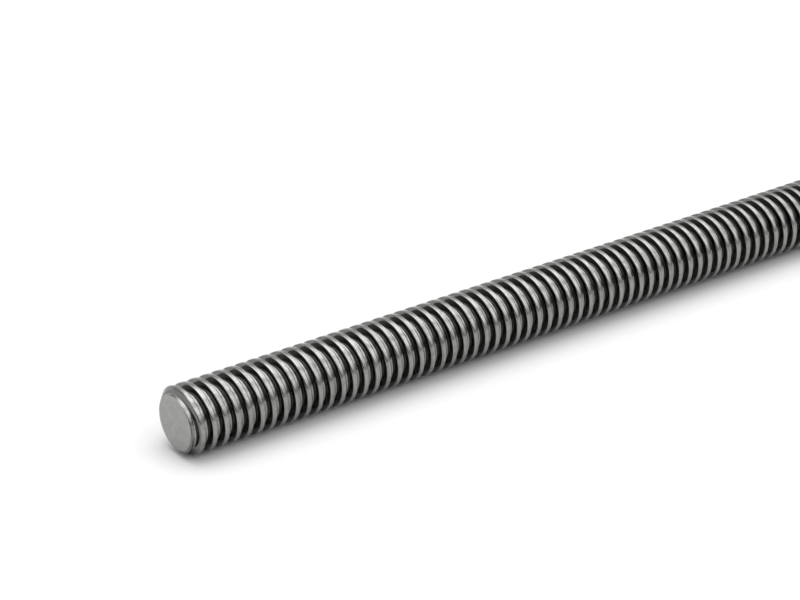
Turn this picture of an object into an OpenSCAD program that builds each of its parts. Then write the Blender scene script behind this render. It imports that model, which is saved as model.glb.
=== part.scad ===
// Trapezoidal lead screw: one bar with a single right-hand 30 degree
// trapezoidal thread over its whole length, cut off and chamfered at both ends.
// The axis lies along +X, the near end face is at x = 0 and +Z is up, so the
// screw lies on its thread crests at z = -major_d / 2.

/* [Bar] */
// Overall length over both end faces
length = 330; // [60:5:350]
// Length of the chamfer at each end, measured along the axis
chamfer_length = 2.2; // [1:0.1:3]
// Depth of the same chamfer on the radius; the flat end face begins below it
chamfer_depth = 2.6; // [1:0.1:2.6]

/* [Thread] */
// Major diameter over the crests (nominal diameter)
major_d = 26; // [22:0.5:32]
// Pitch, which is also the lead of the single start
pitch = 5; // [5:0.5:6]
// Included angle of the thread profile
profile_angle = 30; // [28:1:32]
// Clearance under a mating crest that the root is cut deeper by
root_clearance = 0.25; // [0.15:0.05:0.5]
// Angle at which the thread groove crosses the near end face
start_angle = 84; // [0:1:359]

/* [Hidden] */
steps = 16;                                // steps of the groove per turn
half_angle = profile_angle / 2;
crest_r = major_d / 2;
depth = pitch / 2 + root_clearance;        // thread depth
root_r = crest_r - depth;
crest_w = 0.366 * pitch;                   // flat on the crest
groove_w = pitch - crest_w;                // groove width at the crests
apex_r = crest_r - groove_w / 2 / tan(half_angle);
top_r = crest_r + 0.8;                     // the cutter stands clear of the bar
top_w = (top_r - apex_r) * tan(half_angle);
turns = ceil(length / pitch) + 2;          // one turn clear of each end
face_r = crest_r - chamfer_depth;          // radius of the flat end faces
cut_n = turns * steps;

// Section of the V cutter in an axial plane: [offset along the axis, radius]
section = [[0, apex_r], [top_w, top_r], [-top_w, top_r]];

function on_helix(i, p) =
    let (a = start_angle + 360 * i / steps, x = -pitch + pitch * i / steps + p[0])
    [x, p[1] * cos(a), p[1] * sin(a)];

// V-shaped helical cutter as one closed sweep
module groove_cutter() {
    points = [for (i = [0:cut_n]) for (p = section) on_helix(i, p)];
    sides = [for (i = [0:cut_n - 1]) for (j = [0:2])
        let (a = 3 * i + j, b = 3 * i + (j + 1) % 3, c = b + 3, d = a + 3)
        each [[a, c, b], [a, d, c]]];
    ends = [[0, 1, 2], [3 * cut_n + 2, 3 * cut_n + 1, 3 * cut_n]];
    polyhedron(points = points, faces = concat(sides, ends), convexity = 12);
}

// Turned blank: the crest diameter with both end chamfers
module blank() {
    rotate([90, 0, 90])
        rotate_extrude($fn = 96)
            polygon([[0, 0], [face_r, 0], [crest_r, chamfer_length],
                     [crest_r, length - chamfer_length], [face_r, length],
                     [0, length]]);
}

module lead_screw() {
    color([0.60, 0.60, 0.58])
    difference() {
        blank();
        difference() {
            groove_cutter();
            translate([-3 * pitch, 0, 0]) rotate([0, 90, 0])
                cylinder(r = root_r, h = length + 8 * pitch, $fn = 96);
        }
    }
}

lead_screw();
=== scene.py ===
"""Looks of the trapezoidal lead screw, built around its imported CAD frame.

The thread is modelled as one helical mesh with the CAD's own dimensions: the
same pitch, start angle, radii and chamfers, with the rolled thread's small
corner radii added. It replaces the CAD node, which stays for collision.
"""
import math

import bmesh
import bpy
import numpy as np
from mathutils import Matrix, Vector


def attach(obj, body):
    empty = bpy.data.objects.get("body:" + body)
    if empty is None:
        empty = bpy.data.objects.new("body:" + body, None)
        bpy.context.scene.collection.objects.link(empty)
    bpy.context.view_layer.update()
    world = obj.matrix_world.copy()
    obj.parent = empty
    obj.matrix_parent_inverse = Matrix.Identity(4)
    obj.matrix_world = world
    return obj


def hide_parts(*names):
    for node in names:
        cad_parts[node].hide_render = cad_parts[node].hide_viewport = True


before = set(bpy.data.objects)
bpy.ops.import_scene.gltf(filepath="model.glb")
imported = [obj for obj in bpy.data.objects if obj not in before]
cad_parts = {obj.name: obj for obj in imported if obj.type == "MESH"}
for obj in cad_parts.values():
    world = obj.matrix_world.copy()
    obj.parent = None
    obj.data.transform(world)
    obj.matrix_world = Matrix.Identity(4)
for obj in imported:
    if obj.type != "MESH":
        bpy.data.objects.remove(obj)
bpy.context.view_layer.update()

# ---------------------------------------------------------------- dimensions
# Millimetres, as in the CAD: axis along +X, near end face at x = 0.
LENGTH = 330.0
CREST_R = 13.0
PITCH = 5.0
DEPTH = 2.75
ROOT_R = CREST_R - DEPTH
HALF_ANGLE = math.radians(15)
GROOVE_W = PITCH * (1 - 0.366)
CHAMFER_LENGTH = 2.2
CHAMFER_DEPTH = 2.6
START = math.radians(84)
CREST_FILLET = 0.45
ROOT_FILLET = 0.46
STEPS = 64                      # steps per turn
MM = 0.001


def fillet(p, c, q, radius, n):
    """Points of an arc that rounds corner c of the path p-c-q."""
    p, c, q = (np.array(v, float) for v in (p, c, q))
    a = (p - c) / np.linalg.norm(p - c)
    b = (q - c) / np.linalg.norm(q - c)
    half = math.acos(float(np.clip(a @ b, -1, 1))) / 2
    t = radius / math.tan(half)
    mid = (a + b) / np.linalg.norm(a + b)
    centre = c + mid * radius / math.sin(half)
    s, e = c + a * t - centre, c + b * t - centre
    a0, a1 = math.atan2(s[1], s[0]), math.atan2(e[1], e[0])
    d = (a1 - a0 + math.pi) % (2 * math.pi) - math.pi
    return [tuple(centre + radius * np.array([math.cos(a0 + d * k / n), math.sin(a0 + d * k / n)]))
            for k in range(n + 1)]


def thread_profile():
    """One pitch of the axial section, from the middle of the groove: (dx, r)."""
    top = GROOVE_W / 2
    low = top - DEPTH * math.tan(HALF_ANGLE)
    a, b = (0.0, ROOT_R), (low, ROOT_R)
    c, d = (top, CREST_R), (PITCH - top, CREST_R)
    e, f = (PITCH - low, ROOT_R), (PITCH, ROOT_R)
    return ([a] + fillet(a, b, c, ROOT_FILLET, 3) + fillet(b, c, d, CREST_FILLET, 4)
            + [(PITCH / 2, CREST_R)]
            + fillet(c, d, e, CREST_FILLET, 4) + fillet(d, e, f, ROOT_FILLET, 3))


def blank_profile():
    """Radius of the chamfered blank near an end: (distance from the face, r)."""
    edge, corner = CREST_R - CHAMFER_DEPTH, (CHAMFER_LENGTH, CREST_R)
    return (fillet((0, 0), (0, edge), corner, 0.25, 3)
            + fillet((0, edge), corner, (9, CREST_R), 0.25, 3))


BLANK = blank_profile()


def blank_r(x):
    d = min(x, LENGTH - x)
    if d >= BLANK[-1][0]:
        return 99.0
    if d <= 0:
        return BLANK[0][1]
    for (x0, r0), (x1, r1) in zip(BLANK, BLANK[1:]):
        if d <= x1:
            return r0 + (r1 - r0) * (d - x0) / (x1 - x0) if x1 > x0 else r1
    return 99.0


# ---------------------------------------------------------------- the screw
def build_screw():
    prof = np.array(thread_profile())
    n = len(prof)
    i0 = int(math.floor(-1.6 * STEPS))
    i1 = int(math.ceil((LENGTH / PITCH + 1.6) * STEPS))
    i = np.arange(i0, i1 + 1)
    # groove centre at x = pitch * (angle - start) / 360 degrees
    ang = 2 * math.pi * i / STEPS
    gx = PITCH * (ang - START) / (2 * math.pi)
    x = gx[:, None] + prof[None, :, 0]
    r = np.broadcast_to(prof[None, :, 1], x.shape)
    co = np.stack([x, r * np.cos(ang)[:, None], r * np.sin(ang)[:, None]], -1)
    m = len(i)
    idx = np.arange(m * n).reshape(m, n)
    rows = m - 1 - STEPS
    faces = []
    for j in range(n):
        a, b = idx[:rows, j], idx[1:rows + 1, j]
        if j + 1 < n:
            c, d = idx[1:rows + 1, j + 1], idx[:rows, j + 1]
        else:
            c, d = idx[1 + STEPS:rows + 1 + STEPS, 0], idx[STEPS:rows + STEPS, 0]
        faces.append(np.stack([a, b, c, d], 1))
    faces = np.concatenate(faces)
    fx = co.reshape(-1, 3)[faces, 0]
    keep = (fx.max(1) > -0.01) & (fx.min(1) < LENGTH + 0.01)
    faces = faces[keep]
    used = np.unique(faces)
    remap = np.full(m * n, -1)
    remap[used] = np.arange(len(used))
    verts = co.reshape(-1, 3)[used]
    mesh = bpy.data.meshes.new("screw")
    mesh.from_pydata(verts.tolist(), [], remap[faces].tolist())
    bm = bmesh.new()
    bm.from_mesh(mesh)

    reach = BLANK[-1][0] + 0.35

    def near(seq, side):
        if side < 0:
            return [v for v in seq if v.co.x < reach]
        return [v for v in seq if v.co.x > LENGTH - reach]

    for side in (-1, 1):
        # cut lines round the blank at each corner of its profile
        for d in sorted({round(p[0], 6) for p in BLANK}):
            xc = d if side < 0 else LENGTH - d
            vs = near(bm.verts, side)
            es = {e for v in vs for e in v.link_edges}
            fs = {f for v in vs for f in v.link_faces}
            bmesh.ops.bisect_plane(
                bm, geom=list(vs) + list(es) + list(fs), dist=1e-5,
                plane_co=(xc, 0, 0), plane_no=(side, 0, 0),
                clear_outer=(d == 0.0), clear_inner=False)

        # cut lines where the chamfer crosses the thread
        def gap(v):
            return math.hypot(v.co.y, v.co.z) - blank_r(v.co.x)

        g = {v: gap(v) for v in near(bm.verts, side)}
        eps = 1e-4
        for v in list(g):
            if abs(g[v]) < eps:
                g[v] = 0.0
        new = set(v for v in g if g[v] == 0.0)
        for e in {e for v in list(g) for e in v.link_edges}:
            a, b = e.verts
            if a in g and b in g and g[a] * g[b] < 0:
                t = g[a] / (g[a] - g[b])
                _, nv = bmesh.utils.edge_split(e, a, t)
                g[nv] = 0.0
                new.add(nv)
        for f in {f for v in new for f in v.link_faces}:
            on = [v for v in f.verts if v in new]
            if len(on) == 2 and not any(o in [w for e in on[0].link_edges for w in e.verts] for o in on[1:]):
                rest = [v for v in f.verts if v not in new]
                if any(g.get(v, -1) > 0 for v in rest) and any(g.get(v, -1) < 0 for v in rest):
                    bmesh.utils.face_split(f, on[0], on[1])
        for v, gv in g.items():
            if v.is_valid and gv > 0:
                rr = math.hypot(v.co.y, v.co.z)
                k = blank_r(v.co.x) / rr
                v.co.y *= k
                v.co.z *= k

    # merge slivers left by the cuts, then close each end with its flat face
    bmesh.ops.remove_doubles(
        bm, verts=near(bm.verts, -1) + near(bm.verts, 1), dist=0.004)
    bmesh.ops.dissolve_degenerate(bm, edges=bm.edges[:], dist=0.002)
    caps = []
    for xc in (0.0, LENGTH):
        loop = [e for e in bm.edges if e.is_boundary
                and all(abs(v.co.x - xc) < 0.01 for v in e.verts)]
        for e in loop:
            for v in e.verts:
                v.co.x = xc
        caps += bmesh.ops.edgeloop_fill(bm, edges=loop)["faces"]
    bmesh.ops.recalc_face_normals(bm, faces=bm.faces[:])
    for f in bm.faces:
        f.smooth = True
    for f in caps:
        f.smooth = True
    # a ring of quads just inside each face's edge keeps the flat face flat
    for f in caps:
        bmesh.ops.inset_region(bm, faces=[f], thickness=0.25, use_even_offset=True)
    bm.to_mesh(mesh)
    bm.free()
    mesh.transform(Matrix.Scale(MM, 4))
    mesh.update()
    ob = bpy.data.objects.new("lead_screw_thread", mesh)
    bpy.context.scene.collection.objects.link(ob)
    mesh.set_sharp_from_angle(angle=math.radians(33))
    wn = ob.modifiers.new("normals", "WEIGHTED_NORMAL")
    wn.mode = "FACE_AREA"
    wn.weight = 50
    wn.keep_sharp = True
    return ob


screw = build_screw()


# ---------------------------------------------------------------- materials
class Nodes:
    """Short calls for building a node tree."""

    def __init__(self, mat):
        mat.use_nodes = True
        self.t = mat.node_tree
        self.t.nodes.clear()

    def new(self, kind, **props):
        n = self.t.nodes.new(kind)
        for k, v in props.items():
            setattr(n, k, v)
        return n

    def plug(self, value, socket):
        if isinstance(value, bpy.types.NodeSocket):
            self.t.links.new(value, socket)
        else:
            socket.default_value = value

    def math(self, op, a, b=0.0, c=0.0, clamp=False):
        n = self.new("ShaderNodeMath", operation=op, use_clamp=clamp)
        for s, v in zip(n.inputs, (a, b, c)):
            self.plug(v, s)
        return n.outputs[0]

    def ramp(self, fac, stops, mode="LINEAR"):
        n = self.new("ShaderNodeValToRGB")
        n.color_ramp.interpolation = mode
        el = n.color_ramp.elements
        while len(el) < len(stops):
            el.new(0.5)
        for e, (p, v) in zip(el, stops):
            e.position = p
            e.color = (v, v, v, 1) if not hasattr(v, "__len__") else (*v, 1)
        self.plug(fac, n.inputs[0])
        return n.outputs[0]

    def smooth(self, x, lo, hi):
        n = self.new("ShaderNodeMapRange", interpolation_type="SMOOTHSTEP")
        self.plug(x, n.inputs[0])
        n.inputs[1].default_value = lo
        n.inputs[2].default_value = hi
        n.inputs[3].default_value = 0.0
        n.inputs[4].default_value = 1.0
        return n.outputs[0]

    def remap(self, x, lo, hi, a, b):
        n = self.new("ShaderNodeMapRange", clamp=True)
        self.plug(x, n.inputs[0])
        for s, v in zip(n.inputs[1:5], (lo, hi, a, b)):
            s.default_value = v
        return n.outputs[0]

    def vec(self, x, y, z):
        n = self.new("ShaderNodeCombineXYZ")
        for s, v in zip(n.inputs, (x, y, z)):
            self.plug(v, s)
        return n.outputs[0]

    def noise(self, vector, w=None, scale=1.0, detail=2.0, rough=0.5):
        n = self.new("ShaderNodeTexNoise", noise_dimensions="4D" if w is not None else "3D")
        self.plug(vector, n.inputs["Vector"])
        if w is not None:
            self.plug(w, n.inputs["W"])
        n.inputs["Scale"].default_value = scale
        n.inputs["Detail"].default_value = detail
        n.inputs["Roughness"].default_value = rough
        return n.outputs[0]

    def mix(self, fac, a, b, blend="MIX"):
        n = self.new("ShaderNodeMix", data_type="RGBA", blend_type=blend)
        self.plug(fac, n.inputs[0])
        self.plug(a, n.inputs[6])
        self.plug(b, n.inputs[7])
        return n.outputs[2]


def place(nt):
    """Object position in millimetres, and the radius, the angle round the axis and
    the phase angle that follows the helix."""
    tc = nt.new("ShaderNodeTexCoord")
    sep = nt.new("ShaderNodeSeparateXYZ")
    nt.t.links.new(tc.outputs["Object"], sep.inputs[0])
    x, y, z = (nt.math("MULTIPLY", sep.outputs[k], 1000.0) for k in range(3))
    rad = nt.math("SQRT", nt.math("ADD", nt.math("MULTIPLY", y, y), nt.math("MULTIPLY", z, z)))
    theta = nt.math("ARCTAN2", z, y)
    phase = nt.math("SUBTRACT", nt.math("MULTIPLY", x, 2 * math.pi / PITCH),
                    nt.math("SUBTRACT", theta, START))
    return x, y, z, rad, theta, phase


def thread_material():
    mat = bpy.data.materials.new("rolled_steel")
    nt = Nodes(mat)
    x, y, z, rad, theta, phase = place(nt)
    cos, sin = nt.math("COSINE", phase), nt.math("SINE", phase)
    along = nt.math("ADD", nt.math("MULTIPLY", x, 0.13),
                    nt.math("ADD", nt.math("MULTIPLY", y, 0.055), nt.math("MULTIPLY", z, 0.045)))
    # streaks that run round the screw with the thread: coarse ones and hair lines
    def streaks(k, kr, scale, detail):
        v = nt.vec(nt.math("MULTIPLY", cos, k), nt.math("MULTIPLY", sin, k), nt.math("MULTIPLY", rad, kr))
        return nt.noise(v, w=along, scale=scale, detail=detail, rough=0.6)
    coarse = streaks(2.6, 1.2, 1.0, 2.0)
    fine = streaks(9.0, 5.0, 1.0, 3.0)
    blotch = nt.noise(nt.vec(x, y, z), scale=0.55, detail=3.0, rough=0.55)
    speck = nt.noise(nt.vec(x, y, z), scale=4.0, detail=2.0, rough=0.6)
    h = nt.remap(rad, ROOT_R, CREST_R, 0.0, 1.0)
    # flank mask: between the root fillet and the crest corner; it paints shade on the flanks by darkening their
    # colour, and lowers their roughness
    flank_shade_and_gloss = nt.math("MULTIPLY", nt.smooth(h, 0.03, 0.16), nt.math("SUBTRACT", 1.0, nt.smooth(h, 0.86, 0.985)))

    base = nt.ramp(nt.math("ADD", nt.math("MULTIPLY", coarse, 0.5), nt.math("MULTIPLY", fine, 0.5)),
                   [(0.36, (0.190, 0.190, 0.185)), (0.64, (0.360, 0.360, 0.350))])
    base = nt.mix(nt.math("MULTIPLY", nt.smooth(blotch, 0.48, 0.66), 0.50), base, (0.16, 0.16, 0.155, 1))
    # painted shade: the flanks' colour is pulled most of the way to this dark grey, for the shade inside the groove
    base = nt.mix(nt.math("MULTIPLY", flank_shade_and_gloss, 0.85), base, (0.140, 0.140, 0.135, 1))

    rough = nt.math("ADD", nt.remap(fine, 0.35, 0.65, 0.13, 0.27), nt.remap(blotch, 0.3, 0.7, -0.02, 0.04))
    rough = nt.math("SUBTRACT", rough, nt.math("MULTIPLY", flank_shade_and_gloss, 0.07))

    height = nt.math("ADD", nt.math("MULTIPLY", coarse, 0.010),
                     nt.math("ADD", nt.math("MULTIPLY", fine, 0.0065), nt.math("MULTIPLY", speck, 0.002)))
    bump = nt.new("ShaderNodeBump")
    bump.inputs["Strength"].default_value = 1.0
    bump.inputs["Distance"].default_value = MM
    nt.plug(height, bump.inputs["Height"])
    bsdf = nt.new("ShaderNodeBsdfPrincipled")
    bsdf.inputs["Metallic"].default_value = 1.0
    nt.plug(base, bsdf.inputs["Base Color"])
    nt.plug(rough, bsdf.inputs["Roughness"])
    nt.plug(bump.outputs[0], bsdf.inputs["Normal"])
    out = nt.new("ShaderNodeOutputMaterial")
    nt.plug(bsdf.outputs[0], out.inputs[0])
    return mat


def face_material():
    mat = bpy.data.materials.new("sawn_face_steel")
    nt = Nodes(mat)
    x, y, z, rad, theta, phase = place(nt)
    blotch = nt.noise(nt.vec(x, y, z), scale=0.35, detail=3.0, rough=0.6)
    rings = nt.noise(nt.vec(nt.math("MULTIPLY", rad, 9.0), nt.math("MULTIPLY", y, 0.08), nt.math("MULTIPLY", z, 0.08)),
                     scale=1.0, detail=2.0, rough=0.5)
    grain = nt.noise(nt.vec(x, y, z), scale=5.0, detail=2.0, rough=0.6)
    base = nt.ramp(nt.math("ADD", nt.math("MULTIPLY", rings, 0.4), nt.math("MULTIPLY", blotch, 0.6)),
                   [(0.34, (0.255, 0.255, 0.247)), (0.66, (0.355, 0.355, 0.345))])
    rough = nt.math("ADD", nt.remap(blotch, 0.3, 0.7, 0.36, 0.46), nt.remap(rings, 0.3, 0.7, -0.02, 0.02))
    height = nt.math("ADD", nt.math("MULTIPLY", rings, 0.003), nt.math("MULTIPLY", grain, 0.003))
    bump = nt.new("ShaderNodeBump")
    bump.inputs["Strength"].default_value = 1.0
    bump.inputs["Distance"].default_value = MM
    nt.plug(height, bump.inputs["Height"])
    bsdf = nt.new("ShaderNodeBsdfPrincipled")
    bsdf.inputs["Metallic"].default_value = 1.0
    nt.plug(base, bsdf.inputs["Base Color"])
    nt.plug(rough, bsdf.inputs["Roughness"])
    nt.plug(bump.outputs[0], bsdf.inputs["Normal"])
    out = nt.new("ShaderNodeOutputMaterial")
    nt.plug(bsdf.outputs[0], out.inputs[0])
    return mat


screw.data.materials.append(thread_material())
screw.data.materials.append(face_material())
for p in screw.data.polygons:
    if abs(p.normal.x) > 0.999 and (p.center.x < 1e-5 or p.center.x > LENGTH * MM - 1e-5):
        p.material_index = 1

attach(screw, "root")
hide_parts("lead_screw")


# ---------------------------------------------------------------- stage
def build_floor():
    me = bpy.data.meshes.new("floor")
    s = 4.0
    me.from_pydata([(-s, -s, 0), (s, -s, 0), (s, s, 0), (-s, s, 0)], [], [(0, 1, 2, 3)])
    ob = bpy.data.objects.new("floor", me)
    ob.location = (0.165, 0, -CREST_R * MM)
    bpy.context.scene.collection.objects.link(ob)
    mat = bpy.data.materials.new("floor_white")
    nt = Nodes(mat)
    bsdf = nt.new("ShaderNodeBsdfDiffuse")
    bsdf.inputs["Color"].default_value = (0.64, 0.64, 0.64, 1)
    out = nt.new("ShaderNodeOutputMaterial")
    nt.plug(bsdf.outputs[0], out.inputs[0])
    me.materials.append(mat)
    return ob


build_floor()

# ---------------------------------------------------------------- camera
cam_data = bpy.data.cameras.new("camera")
cam = bpy.data.objects.new("camera", cam_data)
bpy.context.scene.collection.objects.link(cam)
right = Vector((0.80907, -0.58771, 0.0)).normalized()
fwd = Vector((0.52583, 0.72388, -0.44666)).normalized()
up = right.cross(fwd).normalized()
rot = Matrix((right, up, -fwd)).transposed().to_4x4()
cam.matrix_world = Matrix.Translation(Vector((-462.160, -771.072, 495.286)) * MM) @ rot
cam_data.sensor_fit = "HORIZONTAL"
cam_data.sensor_width = 36.0
cam_data.lens = 2907.0 * 36.0 / 800.0
cam_data.clip_start = 0.01
cam_data.clip_end = 20.0
cam_data.dof.use_dof = False
bpy.context.scene.camera = cam


# ---------------------------------------------------------------- light
world = bpy.data.worlds.new("studio")
bpy.context.scene.world = world
world.use_nodes = True


class WorldNodes(Nodes):
    def __init__(self, tree):
        self.t = tree
        self.t.nodes.clear()


def build_world():
    """A plain studio: one wide softbox overhead and one in front, with soft
    edges, a grey-white room behind and an unlit one in front near the floor
    and beyond the far end."""
    nt = WorldNodes(world.node_tree)
    tc = nt.new("ShaderNodeTexCoord")
    sep = nt.new("ShaderNodeSeparateXYZ")
    nt.t.links.new(tc.outputs["Generated"], sep.inputs[0])
    x, y, z = sep.outputs
    # degrees up from the front horizon: 90 is overhead, 180 the back horizon
    rise = nt.math("MULTIPLY", nt.math("ARCTAN2", z, nt.math("MULTIPLY", y, -1.0)), 180 / math.pi)
    lean = nt.math("ADD", rise, nt.math("MULTIPLY", nt.math("MAXIMUM", x, -0.2), 35.0))
    front = nt.math("MULTIPLY", nt.smooth(lean, 18, 60), nt.math("SUBTRACT", 1.0, nt.smooth(rise, 56, 76)))
    top = nt.math("MULTIPLY", nt.smooth(rise, 60, 84), nt.math("SUBTRACT", 1.0, nt.smooth(rise, 104, 144)))
    back = nt.math("ADD", nt.math("MULTIPLY", nt.smooth(rise, 95, 140), 0.78),
                   nt.math("MULTIPLY", nt.smooth(rise, 158, 180), 0.62))
    low = nt.remap(nt.smooth(x, 0.10, 0.50), 0.0, 1.0, 0.05, 0.44)
    low = nt.math("MULTIPLY", low, nt.math("SUBTRACT", 1.0, nt.smooth(rise, 90, 130)))
    boxes = nt.math("ADD", nt.math("MULTIPLY", front, FRONT), nt.math("MULTIPLY", top, TOP))
    boxes = nt.math("MULTIPLY", boxes, nt.remap(nt.smooth(x, 0.0, 0.5), 0.0, 1.0, 1.6, 1.0))
    boxes = nt.math("MULTIPLY", boxes, nt.remap(nt.smooth(x, -0.6, 0.0), 0.0, 1.0, 0.35, 1.0))
    level = nt.math("ADD", boxes, nt.math("ADD", back, low))
    level = nt.math("MULTIPLY", level, nt.math("SUBTRACT", 1.0, nt.math("MULTIPLY", nt.smooth(x, 0.55, 0.85), 0.88)))
    bg = nt.new("ShaderNodeBackground")
    bg.inputs[0].default_value = (1, 1, 1, 1)
    nt.plug(level, bg.inputs[1])
    out = nt.new("ShaderNodeOutputWorld")
    nt.plug(bg.outputs[0], out.inputs[0])


FRONT, TOP = 2.0, 2.5
build_world()

scene = bpy.context.scene
scene.view_settings.view_transform = "Standard"
scene.view_settings.look = "None"
scene.view_settings.exposure = 0.0
scene.view_settings.gamma = 1.0
scene.cycles.use_denoising = True
scene.cycles.max_bounces = 8
scene.cycles.glossy_bounces = 6
scene.cycles.diffuse_bounces = 4
